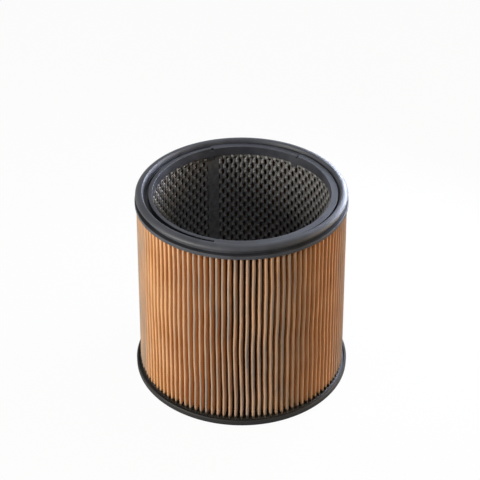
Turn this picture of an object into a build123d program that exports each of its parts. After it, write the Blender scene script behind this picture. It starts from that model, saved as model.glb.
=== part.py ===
from build123d import *
import os
from math import acos, atan2, cos, degrees, hypot, radians, sin

# Pleated filter element: a folded paper ring between two moulded end caps,
# open at the top and closed at the base, round an expanded-metal inner core.
# Millimetres, +Z up, origin at the bottom centre, front of the element towards -Y.

# ---- driving dimensions ----
body_height = 171.5         # standing face to the top of the collar

# opening, inner skirt and keyed collar of the top cap
bore_radius = 72.5          # the machine's basket passes through this bore
skirt_wall = 1.8
skirt_depth = 8.4           # collar top to the lower end of the skirt
collar_width = 5.7
collar_ease = 0.6           # bevel along the collar's top edges
relief_width = 2.5          # the collar is thinner by this over its relieved stretch
relief_start = 110.0        # where that stretch begins, degrees from +X
relief_span = 144.0
key_angles = (49.5, 110.0)  # slots in the collar's inner edge, degrees from +X
key_width = 2.6
key_depth = 1.6
key_height = 2.6
key_step = 0.5              # how far the collar is cut down between the two slots
tongue_angles = (52.5, 110.5)  # tongues that hang from the skirt below the slots
tongue_width = 6.0
tongue_drop = 3.6           # below the skirt
tongue_setback = 0.8        # stands back from the bore

# deck and rim of the top cap
deck_drop = 5.2             # collar top to the deck
deck_thickness = 1.4
rim_clearance = 0.2         # outer folds to the inside of the rim
rim_wall = 1.0
rim_height = 3.2            # deck to the lower edge of the rim
rim_ease = 0.5

# soft sealing ring on the deck
seal_fit = 0.3
seal_foot_thickness = 2.2
seal_groove_width = 0.9     # flat of the foot between the collar and the bead
seal_bead_width = 6.9
seal_bead_height = 5.4      # bead above the foot
seal_neck_width = 4.0       # below the bead's lip
seal_lip_gap = 3.6          # undercut between the deck and the lip
seal_lip_slope = 0.7
bead_flat_count = 3         # flats round each side of the bead

# base cap
base_margin = 1.7           # outer folds to the inside of the base rim
base_rim_wall = 1.8
base_rim_height = 5.2
base_rim_ease = 0.7
base_plate = 1.8
recess_height = 3.2         # the middle of the base is raised clear of the ground
foot_margin = 1.5           # standing ring's inner edge, inside the locating ring
locating_height = 5.0       # locating ring above the raised floor
locating_wall = 1.2
base_boss_radius = 9.0
base_rib_count = 6
base_rib_width = 1.6
base_rib_height = 2.0

# cast adhesive beds that the paper and the core stand in
adhesive_gap = 0.3
base_bed_thickness = 2.0
top_bed_thickness = 0.8

# inner core, a tube of expanded sheet with a lapped seam
core_fit = 0.3
core_sheet = 1.0
core_columns = 16
core_rows = 5
core_border = 4.0           # plain band at each end
core_strand = 4.6           # metal left between two openings
seam_angle = 109.0          # degrees from +X
seam_width = 10.0
seam_lap = 0.5              # how far the lap stands proud inside

# pleated paper
pleat_count = 112
paper_thickness = 0.55
paper_fit = 0.4
pleat_depth = 9.7           # inner folds to outer folds, at the top
pleat_flare = 2.9           # how much deeper the folds are at the base
outer_fold = 0.95           # bend of the middle of the paper at an outer fold
inner_fold = 0.75
fold_flat_count = 3         # flats round the outside of a pressed fold

# ---- worked-out places ----
skirt_radius = bore_radius + skirt_wall
skirt_bottom = body_height - skirt_depth
tongue_bottom = skirt_bottom - tongue_drop
collar_radius = bore_radius + collar_width
relief_radius = collar_radius - relief_width
deck_top = body_height - deck_drop
deck_bottom = deck_top - deck_thickness
rim_bottom = deck_top - rim_height

core_inner = skirt_radius + core_fit
core_outer = core_inner + core_sheet
paper_inner = core_outer + paper_fit
paper_top_radius = paper_inner + pleat_depth
paper_base_radius = paper_top_radius + pleat_flare
rim_inner = paper_top_radius + rim_clearance
flange_radius = rim_inner + rim_wall

base_rim_inner = paper_base_radius + base_margin
base_radius = base_rim_inner + base_rim_wall
recess_radius = bore_radius - foot_margin
raised_floor = recess_height + base_plate
locating_top = raised_floor + locating_height
locating_inner = skirt_radius - locating_wall
bed_top = base_plate + base_bed_thickness
pack_top = deck_bottom - top_bed_thickness
pack_height = pack_top - bed_top


def turned(points):
    """Solid of revolution from a closed outline of (radius, height) points."""
    return revolve(Plane.XZ * make_face(Polyline(*points, close=True)), Axis.Z)


def ring_of(inner, outer, bottom, top):
    """Plain round ring with square edges."""
    return turned([(inner, bottom), (outer, bottom), (outer, top), (inner, top)])


def part_turned(points, start, span):
    """Part of a solid of revolution, from one angle in degrees on through a span."""
    return Rot(0, 0, start) * revolve(Plane.XZ * make_face(Polyline(*points, close=True)), Axis.Z, span)


def sector(inner, outer, start, span, bottom, top):
    """Block of a ring that begins at one angle and runs on through a span."""
    return part_turned([(inner, bottom), (outer, bottom), (outer, top), (inner, top)], start, span)


def polar(radius, angle):
    """Point in the plan at a radius and an angle in degrees."""
    return Vector(radius * cos(radians(angle)), radius * sin(radians(angle)))


def top_cap():
    """Moulded cap: deck, downturned rim, inner skirt and keyed collar round the bore."""
    cap = turned([
        (bore_radius, skirt_bottom),
        (skirt_radius, skirt_bottom),
        (skirt_radius, deck_bottom),
        (rim_inner, deck_bottom),
        (rim_inner, rim_bottom),
        (flange_radius, rim_bottom),
        (flange_radius, deck_top - rim_ease),
        (flange_radius - rim_ease, deck_top),
        (collar_radius, deck_top),
        (collar_radius, body_height - collar_ease),
        (collar_radius - collar_ease, body_height),
        (bore_radius + collar_ease, body_height),
        (bore_radius, body_height - collar_ease),
    ])
    clear = body_height + collar_ease
    cap -= part_turned([
        (relief_radius, deck_top),
        (collar_radius + collar_ease, deck_top),
        (collar_radius + collar_ease, clear),
        (relief_radius - 2 * collar_ease, clear),
        (relief_radius, body_height - collar_ease),
    ], relief_start, relief_span)
    first_key, last_key = key_angles
    cap -= sector(bore_radius - collar_ease, collar_radius + collar_ease, first_key, last_key - first_key,
                  body_height - key_step, clear)
    slot = Pos(bore_radius, 0, body_height) * Box(2 * key_depth, key_width, 2 * key_height)
    for angle in key_angles:
        cap -= Rot(0, 0, angle) * slot
    tongue_span = degrees(tongue_width / skirt_radius)
    for angle in tongue_angles:
        cap += sector(bore_radius + tongue_setback, skirt_radius, angle - tongue_span / 2, tongue_span,
                      tongue_bottom, deck_bottom)
    return cap


def quarter_round(centre, width, height, first, last):
    """Points along part of an ellipse, between two angles in degrees."""
    steps = [first + (last - first) * index / bead_flat_count for index in range(bead_flat_count + 1)]
    return [(centre[0] + width * cos(radians(a)), centre[1] + height * sin(radians(a))) for a in steps]


def seal_ring():
    """Soft ring on the deck: a flat foot, and a rounded bead with an undercut lip."""
    foot_inner = collar_radius + seal_fit
    foot_top = deck_top + seal_foot_thickness
    bead_inner = foot_inner + seal_groove_width
    bead_outer = bead_inner + seal_bead_width
    neck = bead_inner + seal_neck_width
    crown = (bead_inner + neck) / 2
    lip = deck_top + seal_lip_gap
    crest = foot_top + seal_bead_height
    lip_edge = lip + seal_lip_slope
    outside = quarter_round((crown, lip_edge), bead_outer - crown, crest - lip_edge, 0, 90)
    inside = quarter_round((crown, foot_top), crown - bead_inner, crest - foot_top, 90, 180)
    foot = [(foot_inner, foot_top), (foot_inner, deck_top), (neck, deck_top), (neck, lip)]
    return turned(outside + inside[1:] + foot)


def base_cap():
    """Moulded dish: rim, channel for the paper, locating ring and a raised, closed middle."""
    cap = turned([
        (0, recess_height),
        (recess_radius, recess_height),
        (recess_radius, 0),
        (base_radius - base_rim_ease, 0),
        (base_radius, base_rim_ease),
        (base_radius, base_rim_height - base_rim_ease),
        (base_radius - base_rim_ease, base_rim_height),
        (base_rim_inner, base_rim_height),
        (base_rim_inner, base_plate),
        (skirt_radius, base_plate),
        (skirt_radius, locating_top),
        (locating_inner, locating_top),
        (locating_inner, raised_floor),
        (0, raised_floor),
    ])
    cap += ring_of(0, base_boss_radius, recess_height - base_rib_height, recess_height)
    rib_length = recess_radius - base_boss_radius + base_rib_width
    rib = Box(rib_length, base_rib_width, base_rib_height)
    rib = Pos((recess_radius + base_boss_radius) / 2, 0, recess_height - base_rib_height / 2) * rib
    for index in range(base_rib_count):
        cap += Rot(0, 0, index * 360 / base_rib_count) * rib
    return cap


def base_adhesive():
    """Cast bed in the channel of the base cap."""
    return ring_of(skirt_radius + adhesive_gap, base_rim_inner - adhesive_gap, base_plate, bed_top)


def top_adhesive():
    """Cast bed under the deck of the top cap."""
    return ring_of(skirt_radius + adhesive_gap, rim_inner - adhesive_gap, pack_top, deck_bottom)


def core_opening(width, height):
    """Radial cutter for one diamond opening of the expanded sheet."""
    diamond = Polyline((-width / 2, 0), (0, -height / 2), (width / 2, 0), (0, height / 2), close=True)
    cutter = extrude(Plane.YZ * make_face(diamond), 4 * core_sheet)
    return Pos(core_inner - 2 * core_sheet, 0, 0) * cutter


def inner_core():
    """Tube of expanded sheet: staggered diamond openings, plain ends and a lapped seam."""
    tube = ring_of(core_inner, core_outer, bed_top, pack_top)
    seam_span = degrees(seam_width / core_inner)
    column_step = (360 - seam_span) / core_columns
    row_step = (pack_height - 2 * core_border) / (core_rows + 1)
    opening = core_opening(radians(column_step) * core_inner - core_strand, 2 * row_step - 2 * core_strand)
    cutters = []
    for row in range(core_rows):
        stagger = 0.5 + 0.5 * (row % 2)
        level = bed_top + core_border + (row + 1) * row_step
        for column in range(core_columns - row % 2):
            angle = seam_angle + seam_span / 2 + (column + stagger) * column_step
            cutters.append(Rot(0, 0, angle) * Pos(0, 0, level) * opening)
    tube -= cutters
    lap_middle = core_inner + core_sheet / 2
    tube += sector(core_inner - seam_lap, lap_middle, seam_angle - seam_span / 2, seam_span,
                   locating_top + core_fit, tongue_bottom - core_fit)
    return tube


def fold(centre_radius, bend, facing, sweep, flats):
    """Points round one pressed fold, each way from the direction that it faces."""
    steps = [facing - sweep + 2 * sweep * index / flats for index in range(flats + 1)]
    return [Vector(centre_radius, 0) + polar(bend, angle) for angle in steps]


def sheet_outline(height, outer_radius, offset, crest_flats, valley_flats):
    """One face of the folded sheet at a height, offset outwards from the middle of the paper.

    Between two folds the sheet is flat and tangent to both, so the angle at
    which it leaves a fold follows from where the next one is.
    """
    crest_centre = outer_radius - paper_thickness / 2 - outer_fold
    valley_centre = paper_inner + paper_thickness / 2 + inner_fold
    half_pitch = 180 / pleat_count
    reach = polar(valley_centre, half_pitch) - Vector(crest_centre, 0)
    span = hypot(reach.X, reach.Y)
    leaving = degrees(atan2(reach.Y, reach.X) - acos((outer_fold + inner_fold) / span))
    crest = fold(crest_centre, outer_fold + offset, 0, leaving, crest_flats)
    valley = fold(valley_centre, inner_fold - offset, 180, half_pitch - leaving, valley_flats)
    points = []
    for index in range(pleat_count):
        points += [point.rotate(Axis.Z, 2 * half_pitch * index) for point in crest]
        points += [point.rotate(Axis.Z, half_pitch * (2 * index + 1)) for point in valley]
    return [point + Vector(0, 0, height) for point in points]


def polygon(*points):
    """Closed wire through points."""
    return Wire.make_polygon(points, close=True)


def facets(lower, upper):
    """Flat triangles that join two outlines point for point."""
    corners = list(zip(lower, upper))
    faces = []
    for (low, high), (next_low, next_high) in zip(corners, corners[1:] + corners[:1]):
        faces.append(Face(polygon(low, next_low, next_high)))
        faces.append(Face(polygon(low, next_high, high)))
    return faces


def pleated_media():
    """One sheet of paper folded into a closed ring of pressed pleats, deeper towards the base."""
    half = paper_thickness / 2
    levels = ((bed_top, paper_base_radius), (pack_top, paper_top_radius))
    outside = [sheet_outline(height, radius, half, fold_flat_count, 1) for height, radius in levels]
    inside = [sheet_outline(height, radius, -half, 1, fold_flat_count) for height, radius in levels]
    ends = [Face(polygon(*outer), [polygon(*inner)]) for outer, inner in zip(outside, inside)]
    return Solid(Shell(ends + facets(*outside) + facets(*inside)))


os.makedirs("parts", exist_ok=True)
export_step(base_cap(), "parts/base_cap.step")
export_step(base_adhesive(), "parts/base_adhesive.step")
export_step(inner_core(), "parts/inner_core.step")
export_step(pleated_media(), "parts/pleated_media.step")
export_step(top_adhesive(), "parts/top_adhesive.step")
export_step(top_cap(), "parts/top_cap.step")
export_step(seal_ring(), "parts/seal_ring.step")
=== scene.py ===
import math

import bmesh
import bpy
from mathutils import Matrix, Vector


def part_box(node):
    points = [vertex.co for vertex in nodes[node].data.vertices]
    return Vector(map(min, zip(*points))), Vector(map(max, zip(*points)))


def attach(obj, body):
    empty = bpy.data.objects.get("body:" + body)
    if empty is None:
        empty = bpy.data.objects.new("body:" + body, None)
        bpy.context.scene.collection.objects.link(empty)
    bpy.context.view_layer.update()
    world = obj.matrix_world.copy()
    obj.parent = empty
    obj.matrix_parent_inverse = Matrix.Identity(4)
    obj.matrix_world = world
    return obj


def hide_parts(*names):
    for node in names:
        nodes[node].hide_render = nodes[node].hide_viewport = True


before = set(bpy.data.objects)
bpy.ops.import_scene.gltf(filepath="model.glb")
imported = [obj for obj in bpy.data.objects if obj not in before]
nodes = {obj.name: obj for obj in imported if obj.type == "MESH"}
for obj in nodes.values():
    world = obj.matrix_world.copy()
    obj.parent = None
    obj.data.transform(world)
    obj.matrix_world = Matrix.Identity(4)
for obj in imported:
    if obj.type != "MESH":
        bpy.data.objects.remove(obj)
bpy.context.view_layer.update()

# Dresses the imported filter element: folded paper, expanded-metal core, moulded caps and soft seal.
# Metres, +Z up, the front of the element towards -Y. Names that end in _mm hold millimetres.

MM = 0.001
MATH = "ShaderNodeMath"
RANGE = "ShaderNodeMapRange"
MIX = "ShaderNodeMix"
NOISE = "ShaderNodeTexNoise"
COMBINE = "ShaderNodeCombineXYZ"
SEPARATE = "ShaderNodeSeparateXYZ"
scene = bpy.context.scene
scene.view_settings.view_transform = "Standard"


# ---- camera ----

def look_down(name, place, pitch):
    """A camera level from side to side, looking along +Y and down by an angle in degrees."""
    camera = bpy.data.objects.new(name, bpy.data.cameras.new(name))
    scene.collection.objects.link(camera)
    camera.location = place
    camera.rotation_euler = (math.radians(90 - pitch), 0, 0)
    scene.camera = camera
    return camera


camera = look_down("camera", (-0.0013, -0.8811, 0.7161), 33.94)
camera.data.lens = 95.8
camera.data.sensor_width = 36
camera.data.clip_end = 20


# ---- small helpers ----

def linear(hex_colour):
    """An sRGB hex colour as linear red, green, blue and a full alpha."""
    parts = [int(hex_colour[i:i + 2], 16) / 255 for i in (1, 3, 5)]
    return tuple(c / 12.92 if c <= 0.04045 else ((c + 0.055) / 1.055) ** 2.4 for c in parts) + (1.0,)


def add(tree, kind, feeds=None, **settings):
    """Adds one node. Settings are its properties; feeds are its inputs: values, sockets or nodes.

    A node stands for its first working output.
    """
    node = tree.nodes.new(kind)
    for key, value in settings.items():
        setattr(node, key, value)
    for key, value in (feeds or {}).items():
        if isinstance(value, bpy.types.Node):
            value = next(out for out in value.outputs if out.enabled)
        if isinstance(value, bpy.types.NodeSocket):
            tree.links.new(value, node.inputs[key])
        else:
            node.inputs[key].default_value = value
    return node


def per_metre(size_mm):
    """The scale of a pattern whose features are a real size apart."""
    return 1 / (size_mm * MM)


def seen_directly(tree):
    """1 for rays that a viewer sees, straight, mirrored or through glass, and 0 for rays that carry light."""
    rays = add(tree, "ShaderNodeLightPath").outputs
    seen = add(tree, MATH, {0: rays["Is Camera Ray"], 1: rays["Is Glossy Ray"]}, operation="MAXIMUM")
    return add(tree, MATH, {0: seen, 1: rays["Is Transmission Ray"]}, operation="MAXIMUM")


# ---- light ----

def soft_box(name, place, aim, size, power, tint):
    """A rectangular studio lamp that points at a spot on the element."""
    data = bpy.data.lights.new(name, "AREA")
    data.shape = "RECTANGLE"
    data.size, data.size_y = size
    data.energy = power
    data.color = tint
    lamp = bpy.data.objects.new(name, data)
    scene.collection.objects.link(lamp)
    lamp.location = place
    lamp.visible_camera = False
    lamp.rotation_euler = (Vector(aim) - Vector(place)).to_track_quat("-Z", "Y").to_euler()


def light_studio():
    """Low boxes at both sides, a cool strip behind the cap, a high one in front, a small one over the
    bore, and a dim fill under a white surround."""
    middle = (0, 0, 0.09)
    rim = (0, 0, 0.17)
    right_of_rim = (0.06, 0.03, 0.165)
    soft_box("left_box", (-0.94, -0.58, 0.33), middle, (0.6, 0.7), 25.0, (1.0, 0.97, 0.90))
    soft_box("right_box", (1.0, 0.05, 0.34), middle, (0.5, 0.6), 10.0, (1.0, 0.77, 0.46))
    soft_box("back_box", (0.25, 0.22, 0.25), right_of_rim, (0.24, 0.12), 4.0, (0.72, 0.80, 1.0))
    soft_box("front_box", (0.10, -0.70, 1.25), rim, (0.6, 0.5), 2.6, (0.94, 0.97, 1.0))
    soft_box("bore_box", (0.02, 0.02, 0.38), rim, (0.10, 0.10), 0.2, (0.80, 0.87, 1.0))
    world = bpy.data.worlds.new("studio")
    scene.world = world
    world.use_nodes = True
    tree = world.node_tree
    tree.nodes.clear()
    strength = add(tree, RANGE, {"Value": seen_directly(tree), "To Min": 0.05, "To Max": 1.0})
    sky = add(tree, "ShaderNodeBackground", {"Color": (1, 1, 1, 1), "Strength": strength})
    add(tree, "ShaderNodeOutputWorld", {"Surface": sky})


light_studio()


# ---- materials ----

def material(name):
    """An empty node material, the tree that it is built in and the piece's own coordinates."""
    made = bpy.data.materials.new(name)
    made.use_nodes = True
    tree = made.node_tree
    tree.nodes.clear()
    return made, tree, add(tree, "ShaderNodeTexCoord").outputs["Object"]


def finish_surface(tree, colour, roughness, height, relief, **fixed):
    """Ends a material: its shader and output, with a height pattern that is relief metres deep."""
    bump = add(tree, "ShaderNodeBump", {"Strength": 1.0, "Distance": relief, "Height": height})
    shader = add(tree, "ShaderNodeBsdfPrincipled",
                 {"Base Color": colour, "Roughness": roughness, "Normal": bump})
    for key, value in fixed.items():
        shader.inputs[key.replace("_", " ")].default_value = value
    add(tree, "ShaderNodeOutputMaterial", {"Surface": shader})


def moulded_polymer(name, clean, dusty, gloss, grain_mm):
    """Moulded thermoplastic or rubber: one colour through, a fine spark-eroded grain from the mould, and
    handling dust in soft patches that dulls it."""
    made, tree, place = material(name)
    grain_depth = 0.05 * MM
    dust = add(tree, NOISE, {"Vector": place, "Scale": per_metre(18), "Detail": 4.0})
    share = add(tree, RANGE, {"Value": dust, "From Min": 0.35, "From Max": 0.75})
    colour = add(tree, MIX, {0: share, 6: linear(clean), 7: linear(dusty)}, data_type="RGBA")
    rough = add(tree, RANGE, {"Value": dust, "From Min": 0.3, "From Max": 0.7,
                              "To Min": gloss, "To Max": gloss + 0.14})
    grain = add(tree, NOISE, {"Vector": place, "Scale": per_metre(grain_mm), "Detail": 2.0})
    finish_surface(tree, colour, rough, grain, grain_depth, Specular_IOR_Level=0.25)
    return made


def treated_cellulose():
    """Resin-treated cellulose, wet laid and pressed into pleats: a fibrous warm tan sheet that the cured
    resin leaves dull, with painted shade deep in the folds, grey along the outer folds that is partly dust
    and partly a painted reflection, strongest towards the front and the sides seen edge-on, and soaked
    dark where it stands in the sealant."""
    made, tree, place = material("resin_treated_cellulose")
    fibre_depth = 0.06 * MM
    least_reflection_y = -55 * MM    # folds about here along Y get the least painted reflection
    soak_height, soak_fade = 2.2 * MM, 1.6 * MM
    soak_wander = 4.5 * MM

    depth = add(tree, "ShaderNodeAttribute", attribute_name="fold_depth").outputs["Fac"]
    tall = add(tree, "ShaderNodeMapping", {"Vector": place, "Scale": (1.0, 1.0, 0.12)})
    cloud = add(tree, NOISE, {"Vector": place, "Scale": per_metre(30), "Detail": 3.0})
    streak = add(tree, NOISE, {"Vector": tall, "Scale": per_metre(5), "Detail": 3.0})
    fine = add(tree, "ShaderNodeMapping", {"Vector": place, "Scale": (1.0, 1.0, 0.3)})
    fibre = add(tree, NOISE, {"Vector": fine, "Scale": per_metre(0.8), "Detail": 4.0, "Roughness": 0.65})

    warm = add(tree, RANGE, {"Value": cloud, "From Min": 0.3, "From Max": 0.7})
    sheet = add(tree, MIX, {0: warm, 6: linear("#be8550"), 7: linear("#cf9d6e")}, data_type="RGBA")
    # Painted shade: the sheet turns dark brown towards the valleys, where shade falls between the folds.
    clear_of_painted_shade = add(tree, RANGE, {"Value": depth, "From Min": 0.1, "From Max": 0.92})
    sheet_with_painted_shade = add(tree, MIX, {0: clear_of_painted_shade, 6: linear("#3a2b1f"), 7: sheet}, data_type="RGBA")
    # Grey on the outer folds: partly dust, partly a painted reflection.
    crest_dust_and_reflection = add(tree, RANGE, {"Value": depth, "From Min": 0.88, "From Max": 0.96})
    patchy = add(tree, RANGE, {"Value": streak, "From Min": 0.3, "From Max": 0.7,
                               "To Min": 0.55, "To Max": 1.0})
    crest_dust_and_reflection = add(tree, MATH, {0: crest_dust_and_reflection, 1: patchy}, operation="MULTIPLY")
    axes = add(tree, SEPARATE, {0: place}).outputs
    # Painted reflection and sheen: the grey folds are full strength towards the front and towards the sides
    # seen edge-on, and weakest between them.
    from_least_reflection = add(tree, MATH, {0: axes["Y"], 1: least_reflection_y}, operation="SUBTRACT")
    from_least_reflection = add(tree, MATH, {0: from_least_reflection}, operation="ABSOLUTE")
    painted_reflection_share = add(tree, RANGE, {"Value": from_least_reflection, "From Min": 8 * MM, "From Max": 25 * MM,
                                "To Min": 0.4, "To Max": 1.0})
    crest_dust_and_reflection = add(tree, MATH, {0: crest_dust_and_reflection, 1: painted_reflection_share}, operation="MULTIPLY")
    folds = add(tree, MIX, {0: crest_dust_and_reflection, 6: sheet_with_painted_shade, 7: linear("#6c6b68")}, data_type="RGBA")
    speck = add(tree, RANGE, {"Value": fibre, "From Min": 0.3, "From Max": 0.8,
                              "To Min": 0.0, "To Max": 0.2})
    fibrous = add(tree, MIX, {0: speck, 6: folds, 7: linear("#7a4a24")}, data_type="RGBA")

    uneven = add(tree, MATH, {0: streak, 1: soak_wander}, operation="MULTIPLY")
    level = add(tree, MATH, {0: axes["Z"], 1: uneven}, operation="SUBTRACT")
    deep = add(tree, MATH, {0: depth, 1: soak_height}, operation="MULTIPLY")
    level = add(tree, MATH, {0: level, 1: deep}, operation="ADD")
    wet_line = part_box("pleated_media")[0].z + soak_height
    soaked = add(tree, RANGE, {"Value": level, "From Min": wet_line, "From Max": wet_line + soak_fade,
                               "To Min": 1.0, "To Max": 0.0})
    colour = add(tree, MIX, {0: soaked, 6: fibrous, 7: linear("#1d1812")}, data_type="RGBA")
    rough = add(tree, RANGE, {"Value": fibre, "To Min": 0.78, "To Max": 0.9})
    finish_surface(tree, colour, rough, fibre, fibre_depth, Specular_IOR_Level=0.15, Sheen_Weight=0.3,
                   Sheen_Roughness=0.25, Sheen_Tint=linear("#f3dccb"))
    return made


def stoved_steel():
    """Mild steel slit and drawn into mesh, then dipped in thin black stoving paint: dark grey with a dull
    metal shine, and a lighter colour on the raised bonds that is partly thinned paint and partly a painted
    highlight."""
    made, tree, place = material("stoved_expanded_steel")
    paint_ripple = 0.05 * MM
    spots = add(tree, NOISE, {"Vector": place, "Scale": per_metre(3), "Detail": 4.0})
    share = add(tree, RANGE, {"Value": spots, "From Min": 0.35, "From Max": 0.7})
    painted = add(tree, MIX, {0: share, 6: linear("#626161"), 7: linear("#7d7b7a")}, data_type="RGBA")
    raised = add(tree, "ShaderNodeAttribute", attribute_name="raised").outputs["Fac"]
    # Lighter raised bonds: partly paint thinned to bare metal, partly a painted highlight where they turn up
    # to the light.
    wear_and_painted_glint = add(tree, RANGE, {"Value": raised, "From Min": 0.25, "From Max": 0.8})
    colour = add(tree, MIX, {0: wear_and_painted_glint, 6: painted, 7: linear("#aaa8a3")}, data_type="RGBA")
    rough = add(tree, RANGE, {"Value": spots, "To Min": 0.34, "To Max": 0.5})
    finish_surface(tree, colour, rough, spots, paint_ripple, Metallic=0.35)
    return made


def cast_sealant():
    """Two-part polyurethane cast wet round the paper: black, self-levelled, with a dull skin that
    ripples a little as it sets."""
    made, tree, place = material("cast_black_polyurethane")
    skin_ripple = 0.3 * MM
    ripple = add(tree, NOISE, {"Vector": place, "Scale": per_metre(4), "Detail": 3.0})
    colour = add(tree, MIX, {0: ripple, 6: linear("#14110d"), 7: linear("#231d16")}, data_type="RGBA")
    finish_surface(tree, colour, 0.55, ripple, skin_ripple, Specular_IOR_Level=0.25)
    return made


def paper_backdrop():
    """Matt white background board: plain white to the eye, with the element's soft shadow left on it."""
    made, tree, _ = material("matt_white_board")
    share = add(tree, MATH, {0: seen_directly(tree), 1: 0.96}, operation="MULTIPLY")
    board = add(tree, "ShaderNodeBsdfDiffuse", {"Color": linear("#b4b4b2")})
    glow = add(tree, "ShaderNodeEmission", {"Color": (1, 1, 1, 1), "Strength": 1.0})
    both = add(tree, "ShaderNodeMixShader", {0: share, 1: board, 2: glow})
    add(tree, "ShaderNodeOutputMaterial", {"Surface": both})
    return made


cap_polymer = moulded_polymer("slate_grey_polypropylene", "#2b2c31", "#3a3b40", 0.42, 0.35)
seal_elastomer = moulded_polymer("slate_grey_thermoplastic_elastomer", "#2c2d32", "#3b3c41", 0.42, 0.3)
base_polymer = moulded_polymer("black_polypropylene", "#0c0b0a", "#151312", 0.5, 0.35)
paper = treated_cellulose()
steel = stoved_steel()
sealant = cast_sealant()


# ---- how pieces are made ----

def coat(mesh, finish):
    """Gives a mesh one finish, in place of any that it has."""
    mesh.materials.clear()
    mesh.materials.append(finish)


def dress(piece, finish, slot, *replaced):
    """Gives a new piece its finish and its place on the frame, and hides the solids it stands for. The slot
    is not used.
    """
    coat(piece.data, finish)
    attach(piece, "root")
    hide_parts(*replaced)


def columns(step, *turns):
    """Angles in degrees round a circle, doubled at each turn, where the section changes at once."""
    too_near = 0.4 * step
    regular = [index * step for index in range(round(360 / step))]
    regular = [angle for angle in regular if all(abs(angle - turn) > too_near for turn in turns)]
    return sorted([(angle, 1) for angle in regular] + [(turn, side) for turn in turns for side in (0, 1)])


def turned(name, stations, section_at, round_over, small_round=1.0):
    """A closed ring swept round the axis from a section that may change with the angle.

    section_at(angle, side) gives (radius, height) points in millimetres, as many at every angle.
    Points that fall together share a corner. Edges are rounded by round_over, and those that
    don't run round the axis by small_round times that.
    """
    shape = bmesh.new()
    corners = {}
    rings = []
    for angle, side in stations:
        ring = []
        for radius, height in section_at(angle, side):
            turn = math.radians(angle)
            place = (radius * math.cos(turn) * MM, radius * math.sin(turn) * MM, height * MM)
            key = tuple(round(value, 7) for value in place)
            if key not in corners:
                corners[key] = shape.verts.new(place)
            ring.append(corners[key])
        rings.append((angle, ring))
    for (angle, ring), (next_angle, following) in zip(rings, rings[1:] + rings[:1]):
        strip = []
        for i in range(len(ring)):
            face = dict.fromkeys([ring[i - 1], ring[i], following[i], following[i - 1]])
            if len(face) > 2:
                strip.append(shape.faces.new(face))
        if angle == next_angle:
            bmesh.ops.dissolve_faces(shape, faces=strip)
    bmesh.ops.recalc_face_normals(shape, faces=shape.faces)
    rounded_from, sharp_from = math.radians(35), math.radians(40)
    same = 0.001 * MM
    weight = shape.edges.layers.float.new("bevel_weight_edge")
    for edge in shape.edges:
        one, other = (corner.co for corner in edge.verts)
        level = abs(one.z - other.z) < same and abs(one.xy.length - other.xy.length) < same
        if edge.calc_face_angle(0) > rounded_from:
            edge[weight] = 1.0 if level else small_round
    for face in shape.faces:
        face.smooth = True
    mesh = bpy.data.meshes.new(name)
    shape.to_mesh(mesh)
    shape.free()
    mesh.set_sharp_from_angle(angle=sharp_from)
    piece = bpy.data.objects.new(name, mesh)
    scene.collection.objects.link(piece)
    if round_over:
        edges = piece.modifiers.new("rounded_edges", "BEVEL")
        edges.limit_method = "WEIGHT"
        edges.width = round_over
        edges.segments = 3
        edges.use_clamp_overlap = False
        edges.harden_normals = True
    return piece


def geometry_tree(name, sockets):
    """A node group with named inputs; returns it, its input sockets and each input's identifier."""
    tree = bpy.data.node_groups.new(name, "GeometryNodeTree")
    tree.interface.new_socket("Geometry", in_out="OUTPUT", socket_type="NodeSocketGeometry")
    identifiers = {}
    for label, kind in sockets:
        item = tree.interface.new_socket(label, in_out="INPUT", socket_type="NodeSocket" + kind)
        identifiers[label] = item.identifier
    return tree, add(tree, "NodeGroupInput").outputs, identifiers


def round_axis(tree, radius, angle, height):
    """The place at a radius, an angle round the axis and a height."""
    cosine = add(tree, MATH, {0: angle}, operation="COSINE")
    sine = add(tree, MATH, {0: angle}, operation="SINE")
    along = add(tree, MATH, {0: radius, 1: cosine}, operation="MULTIPLY")
    across = add(tree, MATH, {0: radius, 1: sine}, operation="MULTIPLY")
    return add(tree, COMBINE, {0: along, 1: across, 2: height})


def hand_over(tree, given, shape):
    """Ends a node group: its shape without instances, in its material."""
    real = add(tree, "GeometryNodeRealizeInstances", {0: shape})
    coated = add(tree, "GeometryNodeSetMaterial", {"Geometry": real, "Material": given["Material"]})
    add(tree, "NodeGroupOutput", {0: coated})


def grown(name, tree, identifiers, values, finish):
    """Runs a node group with its values set, and returns its result as a plain mesh object."""
    seedling = bpy.data.objects.new(name + "_tree", bpy.data.meshes.new(name + "_tree"))
    scene.collection.objects.link(seedling)
    modifier = seedling.modifiers.new(name, "NODES")
    modifier.node_group = tree
    for label, value in values.items():
        modifier[identifiers[label]] = value
    modifier[identifiers["Material"]] = finish
    bpy.context.view_layer.update()
    evaluated = seedling.evaluated_get(bpy.context.evaluated_depsgraph_get())
    mesh = bpy.data.meshes.new_from_object(evaluated)
    seedling.modifiers.remove(modifier)
    bpy.data.objects.remove(seedling)
    mesh.name = name
    piece = bpy.data.objects.new(name, mesh)
    scene.collection.objects.link(piece)
    return piece


# ---- folded paper ----

PLEATS = 112
BASE_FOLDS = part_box("base_adhesive")[1].x - 1.4 * MM    # reach of the outer folds at the base
TOP_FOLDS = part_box("top_cap")[1].x - 1.2 * MM           # and under the rim of the top cap
INNER_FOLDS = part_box("inner_core")[1].x + 0.4 * MM


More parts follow.
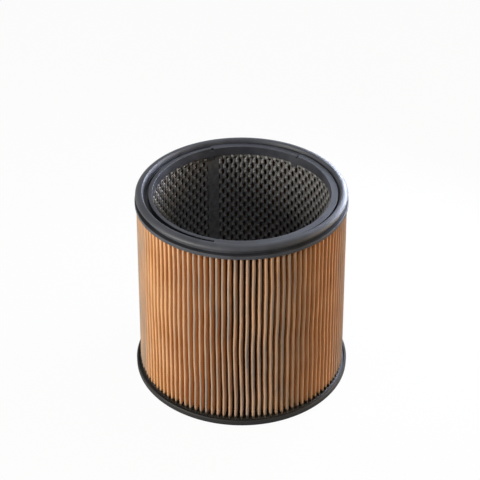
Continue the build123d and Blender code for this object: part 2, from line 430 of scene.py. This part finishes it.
def pleat_tree():
    """Folded paper: a filleted star drawn up the height and narrowed towards the top, with each pleat
    leaning its own way and whole stretches leaning together."""
    tree, given, identifiers = geometry_tree("folded_sheet", [
        ("Pleats", "Int"), ("Crest Apex", "Float"), ("Valley Apex", "Float"), ("Crest Bend", "Float"),
        ("Valley Bend", "Float"), ("Bend Steps", "Int"), ("Bottom", "Float"), ("Top", "Float"),
        ("Levels", "Int"), ("Inner Radius", "Float"), ("Outer Radius", "Float"), ("Flare", "Float"),
        ("Lean", "Float"), ("Drift", "Float"), ("Sink", "Float"), ("Seed", "Float"),
        ("Material", "Material")])
    apart = 7.31                # far enough along the noise for each pleat to lean its own way
    own_turns, drift_turns = 14.0, 17.0    # changes of a pleat's own lean, and of a shared one, in a metre
    stiffness = 0.4             # under 1, a fold is free to lean soon after the cap that holds it

    star = add(tree, "GeometryNodeCurveStar", {
        "Points": given["Pleats"], "Inner Radius": given["Valley Apex"], "Outer Radius": given["Crest Apex"]})
    bend = add(tree, "GeometryNodeSwitch", {
        "Switch": star.outputs["Outer Points"], "False": given["Valley Bend"], "True": given["Crest Bend"]},
        input_type="FLOAT")
    folded = add(tree, "GeometryNodeFilletCurve", {
        "Curve": star, "Count": given["Bend Steps"], "Radius": bend}, mode="POLY")
    foot = add(tree, COMBINE, {2: given["Bottom"]})
    head = add(tree, COMBINE, {2: given["Top"]})
    rise = add(tree, "GeometryNodeCurvePrimitiveLine", {"Start": foot, "End": head})
    levels = add(tree, "GeometryNodeResampleCurve", {"Curve": rise, "Count": given["Levels"]})
    sheet = add(tree, "GeometryNodeCurveToMesh", {"Curve": levels, "Profile Curve": folded})

    spot = add(tree, "GeometryNodeInputPosition")
    place = add(tree, SEPARATE, {0: spot}).outputs
    flat = add(tree, COMBINE, {0: place[0], 1: place[1]})
    radius = add(tree, "ShaderNodeVectorMath", {0: flat}, operation="LENGTH").outputs["Value"]
    angle = add(tree, MATH, {0: place[1], 1: place[0]}, operation="ARCTAN2")
    pitch = add(tree, MATH, {0: 2 * math.pi, 1: given["Pleats"]}, operation="DIVIDE")
    number = add(tree, MATH, {0: angle, 1: pitch}, operation="DIVIDE")
    number = add(tree, MATH, {0: number}, operation="ROUND")
    depth = add(tree, RANGE, {
        "Value": radius, "From Min": given["Inner Radius"], "From Max": given["Outer Radius"]})
    height = add(tree, RANGE, {"Value": place[2], "From Min": given["Bottom"], "From Max": given["Top"]})

    # Slack is none at both caps, which hold the folds, and 1 half way between them.
    below_top = add(tree, MATH, {0: 1.0, 1: height}, operation="SUBTRACT")
    slack = add(tree, MATH, {0: height, 1: below_top}, operation="MULTIPLY")
    slack = add(tree, MATH, {0: slack, 1: 4.0}, operation="MULTIPLY")
    slack = add(tree, MATH, {0: slack, 1: stiffness}, operation="POWER")

    # A pleat's own lean and one that neighbours share swing the outer folds, and leave the inner ones.
    pleat_line = add(tree, MATH, {0: number, 1: apart}, operation="MULTIPLY")
    up_line = add(tree, MATH, {0: place[2], 1: own_turns}, operation="MULTIPLY")
    own_line = add(tree, COMBINE, {0: pleat_line, 1: up_line, 2: given["Seed"]})
    own = add(tree, NOISE, {"Vector": own_line, "Scale": 1.0, "Detail": 1.0})
    own = add(tree, MATH, {0: own, 1: 0.5}, operation="SUBTRACT")
    own = add(tree, MATH, {0: own, 1: given["Lean"]}, operation="MULTIPLY")
    shared = add(tree, NOISE, {"Vector": spot, "W": given["Seed"], "Scale": drift_turns, "Detail": 1.0},
                 noise_dimensions="4D")
    shared = add(tree, MATH, {0: shared, 1: 0.5}, operation="SUBTRACT")
    shared = add(tree, MATH, {0: shared, 1: given["Drift"]}, operation="MULTIPLY")
    swing = add(tree, MATH, {0: own, 1: shared}, operation="ADD")
    swing = add(tree, MATH, {0: swing, 1: slack}, operation="MULTIPLY")
    swing = add(tree, MATH, {0: swing, 1: depth}, operation="MULTIPLY")
    turn = add(tree, MATH, {0: swing, 1: given["Outer Radius"]}, operation="DIVIDE")

    # The ring narrows towards the top, and no two pleats reach out quite as far.
    narrow = add(tree, MATH, {0: height, 1: given["Flare"]}, operation="MULTIPLY")
    short = add(tree, "ShaderNodeTexWhiteNoise", {"W": number}, noise_dimensions="1D").outputs["Value"]
    short = add(tree, MATH, {0: short, 1: given["Sink"]}, operation="MULTIPLY")
    short = add(tree, MATH, {0: short, 1: narrow}, operation="ADD")
    short = add(tree, MATH, {0: short, 1: depth}, operation="MULTIPLY")
    new_angle = add(tree, MATH, {0: angle, 1: turn}, operation="ADD")
    new_radius = add(tree, MATH, {0: radius, 1: short}, operation="SUBTRACT")
    moved = round_axis(tree, new_radius, new_angle, place[2])

    noted = add(tree, "GeometryNodeStoreNamedAttribute", {
        "Geometry": sheet, "Name": "fold_depth", "Value": depth}, data_type="FLOAT", domain="POINT")
    settled = add(tree, "GeometryNodeSetPosition", {"Geometry": noted, "Position": moved})
    smooth = add(tree, "GeometryNodeSetShadeSmooth", {"Geometry": settled})
    hand_over(tree, given, smooth)
    return tree, identifiers


def pleated_paper():
    """The folded sheet, as thick as the real paper."""
    low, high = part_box("pleated_media")
    thickness = 0.55 * MM
    crest_bend, valley_bend = 0.95 * MM, 0.75 * MM
    crest_centre = BASE_FOLDS - thickness / 2 - crest_bend
    valley_centre = INNER_FOLDS + thickness / 2 + valley_bend
    half = math.pi / PLEATS
    across = Vector((valley_centre * math.cos(half) - crest_centre, valley_centre * math.sin(half)))
    leaving = math.atan2(across.y, across.x) - math.acos((crest_bend + valley_bend) / across.length)
    tree, identifiers = pleat_tree()
    sheet = grown("pleated_paper", tree, identifiers, {
        "Pleats": PLEATS,
        "Crest Apex": crest_centre + crest_bend / math.cos(leaving),
        "Valley Apex": valley_centre - valley_bend / math.cos(leaving - half),
        "Crest Bend": crest_bend, "Valley Bend": valley_bend, "Bend Steps": 5,
        "Bottom": low.z, "Top": high.z, "Levels": 26,
        "Inner Radius": INNER_FOLDS, "Outer Radius": BASE_FOLDS, "Flare": BASE_FOLDS - TOP_FOLDS,
        "Lean": 0.9 * MM, "Drift": 4.0 * MM, "Sink": 0.35 * MM, "Seed": 4.0}, paper)
    wall = sheet.modifiers.new("paper", "SOLIDIFY")
    wall.thickness = thickness
    wall.offset = 0
    dress(sheet, paper, "filter_paper", "pleated_media")


# ---- expanded core ----

def lattice_tree():
    """Expanded sheet: strands that sway to and fro and meet their neighbours in bonds, where one of the
    two stands up towards the bore. Drawn flat, given plain ends and a lap, and rolled up."""
    tree, given, identifiers = geometry_tree("expanded_sheet", [
        ("Strands", "Int"), ("Pitch", "Float"), ("First", "Float"), ("Length", "Float"), ("Steps", "Int"),
        ("Strand Width", "Float"), ("Sheet", "Float"), ("Rise", "Float"), ("Border", "Float"),
        ("Seam Width", "Float"), ("Seam Sheet", "Float"), ("Radius", "Float"), ("Seam Angle", "Float"),
        ("Bottom", "Float"), ("Material", "Material")])
    bond_points = 3.0           # a strand comes into a bond, stands up in its middle and leaves it
    lower_share = 0.1           # how far a bond's lower strand stands up, of the upper one's rise
    band_columns, lap_columns = 145, 5    # corners across a plain end and a lap, to let them be rolled

    end = add(tree, COMBINE, {1: given["Length"]})
    strand = add(tree, "GeometryNodeCurvePrimitiveLine", {"End": end})
    strand = add(tree, "GeometryNodeResampleCurve", {"Curve": strand, "Count": given["Steps"]})
    first = add(tree, COMBINE, {0: given["First"]})
    stride = add(tree, COMBINE, {0: given["Pitch"]})
    row = add(tree, "GeometryNodeMeshLine", {
        "Count": given["Strands"], "Start Location": first, "Offset": stride})
    strands = add(tree, "GeometryNodeInstanceOnPoints", {"Points": row, "Instance": strand})
    strands = add(tree, "GeometryNodeRealizeInstances", {0: strands})

    # Each strand sways to one neighbour and then to the other, and stands up at every second bond.
    place = add(tree, SEPARATE, {0: add(tree, "GeometryNodeInputPosition")}).outputs
    step = add(tree, "GeometryNodeSplineParameter").outputs["Index"]
    in_bond = add(tree, MATH, {0: step, 1: bond_points}, operation="MODULO")
    bond = add(tree, MATH, {0: step, 1: bond_points}, operation="DIVIDE")
    bond = add(tree, MATH, {0: bond}, operation="FLOOR")
    column = add(tree, MATH, {0: place[0], 1: given["First"]}, operation="SUBTRACT")
    column = add(tree, MATH, {0: column, 1: given["Pitch"]}, operation="DIVIDE")
    column = add(tree, MATH, {0: column}, operation="ROUND")
    side = add(tree, MATH, {0: bond, 1: column}, operation="ADD")
    side = add(tree, MATH, {0: side, 1: 2.0}, operation="MODULO")
    way = add(tree, MATH, {0: side, 1: 2.0, 2: -1.0}, operation="MULTIPLY_ADD")
    reach = add(tree, MATH, {0: given["Pitch"], 1: given["Strand Width"]}, operation="SUBTRACT")
    reach = add(tree, MATH, {0: reach, 1: 0.5}, operation="MULTIPLY")
    sideways = add(tree, MATH, {0: way, 1: reach}, operation="MULTIPLY")
    from_middle = add(tree, MATH, {0: in_bond, 1: 1.0}, operation="SUBTRACT")
    from_middle = add(tree, MATH, {0: from_middle}, operation="ABSOLUTE")
    crown = add(tree, MATH, {0: 1.0, 1: from_middle}, operation="SUBTRACT")
    proud = add(tree, MATH, {0: side, 1: 1.0 - lower_share, 2: lower_share}, operation="MULTIPLY_ADD")
    proud = add(tree, MATH, {0: proud, 1: crown}, operation="MULTIPLY")
    proud = add(tree, MATH, {0: proud, 1: given["Rise"]}, operation="MULTIPLY")
    inward = add(tree, MATH, {0: proud, 1: -1.0}, operation="MULTIPLY")
    sway = add(tree, COMBINE, {0: sideways, 2: inward})
    raised = add(tree, MATH, {0: crown, 1: side}, operation="MULTIPLY")
    strands = add(tree, "GeometryNodeStoreNamedAttribute", {
        "Geometry": strands, "Name": "raised", "Value": raised}, data_type="FLOAT", domain="POINT")
    strands = add(tree, "GeometryNodeSetPosition", {"Geometry": strands, "Offset": sway})
    strands = add(tree, "GeometryNodeSetCurveNormal", {"Curve": strands}, mode="Z_UP")
    section = add(tree, "GeometryNodeCurvePrimitiveQuadrilateral", {
        "Width": given["Strand Width"], "Height": given["Sheet"]})
    strands = add(tree, "GeometryNodeCurveToMesh", {
        "Curve": strands, "Profile Curve": section, "Fill Caps": True})

    # The plain ends and the lap of the seam.
    parts = [strands]
    sheet_width = add(tree, MATH, {0: given["Radius"], 1: 2 * math.pi}, operation="MULTIPLY")
    half_width = add(tree, MATH, {0: sheet_width, 1: 0.5}, operation="MULTIPLY")
    low_band = add(tree, MATH, {0: given["Border"], 1: 0.5}, operation="MULTIPLY")
    high_band = add(tree, MATH, {0: given["Length"], 1: low_band}, operation="SUBTRACT")
    for level in (low_band, high_band):
        size = add(tree, COMBINE, {0: sheet_width, 1: given["Border"], 2: given["Seam Sheet"]})
        plate = add(tree, "GeometryNodeMeshCube", {"Size": size, "Vertices X": band_columns})
        middle = add(tree, COMBINE, {0: half_width, 1: level})
        parts.append(add(tree, "GeometryNodeTransform", {"Geometry": plate, "Translation": middle}))
    size = add(tree, COMBINE, {0: given["Seam Width"], 1: given["Length"], 2: given["Seam Sheet"]})
    lap = add(tree, "GeometryNodeMeshCube", {"Size": size, "Vertices X": lap_columns})
    half_length = add(tree, MATH, {0: given["Length"], 1: 0.5}, operation="MULTIPLY")
    middle = add(tree, COMBINE, {1: half_length})
    parts.append(add(tree, "GeometryNodeTransform", {"Geometry": lap, "Translation": middle}))
    flat = add(tree, "GeometryNodeJoinGeometry")
    for part in parts:
        tree.links.new(part.outputs[0], flat.inputs[0])

    # Rolled up: across the sheet becomes round the tube, and up from the sheet becomes outwards.
    radius = add(tree, MATH, {0: given["Radius"], 1: place[2]}, operation="ADD")
    angle = add(tree, MATH, {0: place[0], 1: given["Radius"]}, operation="DIVIDE")
    angle = add(tree, MATH, {0: given["Seam Angle"], 1: angle}, operation="ADD")
    up = add(tree, MATH, {0: given["Bottom"], 1: place[1]}, operation="ADD")
    rolled = round_axis(tree, radius, angle, up)
    tube = add(tree, "GeometryNodeSetPosition", {"Geometry": flat, "Position": rolled})
    hand_over(tree, given, tube)
    return tree, identifiers


def expanded_core():
    """The rolled tube of expanded sheet with its plain ends and lapped seam."""
    low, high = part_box("inner_core")
    radius = high.x - 0.5 * MM
    seam_width = 10 * MM
    strands = 124
    meshes = 16                    # diamonds along the tube
    pitch = (2 * math.pi * radius - seam_width) / strands
    tree, identifiers = lattice_tree()
    core = grown("expanded_core", tree, identifiers, {
        "Strands": strands, "Pitch": pitch, "First": seam_width / 2 + pitch / 2,
        "Length": high.z - low.z, "Steps": 6 * meshes + 1, "Strand Width": 2.6 * MM, "Sheet": 0.7 * MM,
        "Rise": 0.95 * MM, "Border": 4 * MM, "Seam Width": seam_width, "Seam Sheet": 0.95 * MM,
        "Radius": radius, "Seam Angle": math.radians(109), "Bottom": low.z}, steel)
    dress(core, steel, "core_metal", "inner_core")


# ---- moulded top cap and seal ----

ROUND_STEP = 2.0                # degrees between two sections of a plain round piece


def top_cap():
    """Deck, downturned rim and collar. The collar is thinner over its left stretch, a little lower
    between its two slots, and has a tongue below each slot. Sizes in millimetres and degrees."""
    low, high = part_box("top_cap")
    bore, skirt, thin, collar, flange = 72.5, 74.3, 75.7, 78.2, high.x / MM
    rim_inner = flange - 1.0
    slot_back = bore + 1.6
    tongue_front = bore + 0.8
    top = high.z / MM
    keyed_top, slot_floor = top - 0.5, top - 2.6
    deck = top - 5.2
    ceiling = deck - 1.4
    rim_end = deck - 3.2
    skirt_end = top - 8.4
    tongue_end = low.z / MM
    slots, slot_width = (49.5, 110.0), 2.6
    half_slot = math.degrees(slot_width / 2 / bore)
    tongues, tongue_width = (52.5, 110.5), 6.0
    half_tongue = math.degrees(tongue_width / 2 / skirt)
    thin_from, thin_to = 110.0, 254.0
    nudge = 0.001               # to one side or the other of an angle where the section changes
    turns = {slots[0], thin_from, thin_to}
    for centre in slots:
        turns |= {centre - half_slot, centre + half_slot}
    for centre in tongues:
        turns |= {centre - half_tongue, centre + half_tongue}

    def section(angle, side):
        here = angle + (nudge if side else -nudge)
        crown = keyed_top if slots[0] < here < slots[1] else top
        ledge = deck if thin_from < here < thin_to else None
        hang = tongue_end if any(abs(here - centre) < half_tongue for centre in tongues) else skirt_end
        inner = slot_back if any(abs(here - centre) < half_slot for centre in slots) else bore
        return [
            (bore, skirt_end), (tongue_front, skirt_end), (tongue_front, hang), (skirt, hang),
            (skirt, skirt_end), (skirt, ceiling), (rim_inner, ceiling), (rim_inner, rim_end),
            (flange, rim_end), (flange, deck), (collar, deck),
            (collar, ledge or keyed_top), (collar, ledge or crown), (thin, ledge or crown),
            (thin, keyed_top if ledge else crown), (thin, crown), (slot_back, crown),
            (inner, crown), (inner, keyed_top), (inner, slot_floor), (bore, slot_floor),
        ]

    cap = turned("moulded_top_cap", columns(ROUND_STEP, *turns), section, 0.45 * MM, small_round=0.4)
    dress(cap, cap_polymer, "top_cap_plastic", "top_cap")


def soft_seal():
    """Flat foot and a rounded, undercut bead. Sizes in millimetres."""
    low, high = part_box("seal_ring")
    bead_steps = 10
    foot, foot_inner = low.z / MM, 78.5
    foot_top = foot + 2.2
    bead_inner = foot_inner + 0.9
    neck = bead_inner + 4.0
    crown = (bead_inner + neck) / 2
    lip = foot + 3.6
    lip_edge = lip + 0.7
    reach, crest = high.x / MM - crown, high.z / MM
    quarter = [math.radians(90 * index / bead_steps) for index in range(bead_steps + 1)]
    bead = [(crown + reach * math.cos(a), lip_edge + (crest - lip_edge) * math.sin(a)) for a in quarter]
    bead += [(crown - (crown - bead_inner) * math.sin(a), foot_top + (crest - foot_top) * math.cos(a))
             for a in quarter[1:]]
    outline = bead + [(foot_inner, foot_top), (foot_inner, foot), (neck, foot), (neck, lip)]
    seal = turned("soft_seal", columns(ROUND_STEP), lambda angle, side: outline, 0.35 * MM)
    dress(seal, seal_elastomer, "seal_rubber", "seal_ring")


# ---- sealant bed at the base ----

def sealant_bed():
    """Sealant that has crept up the paper: higher between the outer folds than against them, and in
    some places higher than in others. Sizes in millimetres."""
    low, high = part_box("base_adhesive")
    inner, outer = 74.6, high.x / MM
    bottom, level = low.z / MM, high.z / MM
    sections_per_pleat = 4
    step = 360 / PLEATS / sections_per_pleat

    def section(angle, side):
        turn = math.radians(angle)
        between = 0.5 - 0.5 * math.cos(PLEATS * turn)
        wander = 0.5 + 0.22 * math.sin(9 * turn) + 0.16 * math.sin(23 * turn + 1.0)
        wander += 0.12 * math.sin(41 * turn)
        climb = 0.35 + 0.55 * between + 0.8 * wander * between
        return [(inner, bottom), (outer, bottom), (outer, level - 0.1), (outer - 0.7, level + 0.15 * wander),
                (outer - 1.4, level + 0.35 * climb + 0.1), (outer - 2.3, level + 0.8 * climb),
                (outer - 4.5, level + climb), (inner + 1.5, level + 0.5), (inner, level)]

    bed = turned("sealant_bed", columns(step), section, 0)
    dress(bed, sealant, "adhesive", "base_adhesive")


pleated_paper()
expanded_core()
top_cap()
soft_seal()
sealant_bed()
coat(nodes["base_cap"].data, base_polymer)
coat(nodes["top_adhesive"].data, sealant)


# ---- stage ----

def studio_floor():
    """A wide level floor that the element stands on."""
    half_width = 6
    mesh = bpy.data.meshes.new("studio_floor")
    shape = bmesh.new()
    bmesh.ops.create_grid(shape, x_segments=1, y_segments=1, size=half_width)
    shape.to_mesh(mesh)
    shape.free()
    floor = bpy.data.objects.new("studio_floor", mesh)
    scene.collection.objects.link(floor)
    mesh.materials.append(paper_backdrop())


studio_floor()
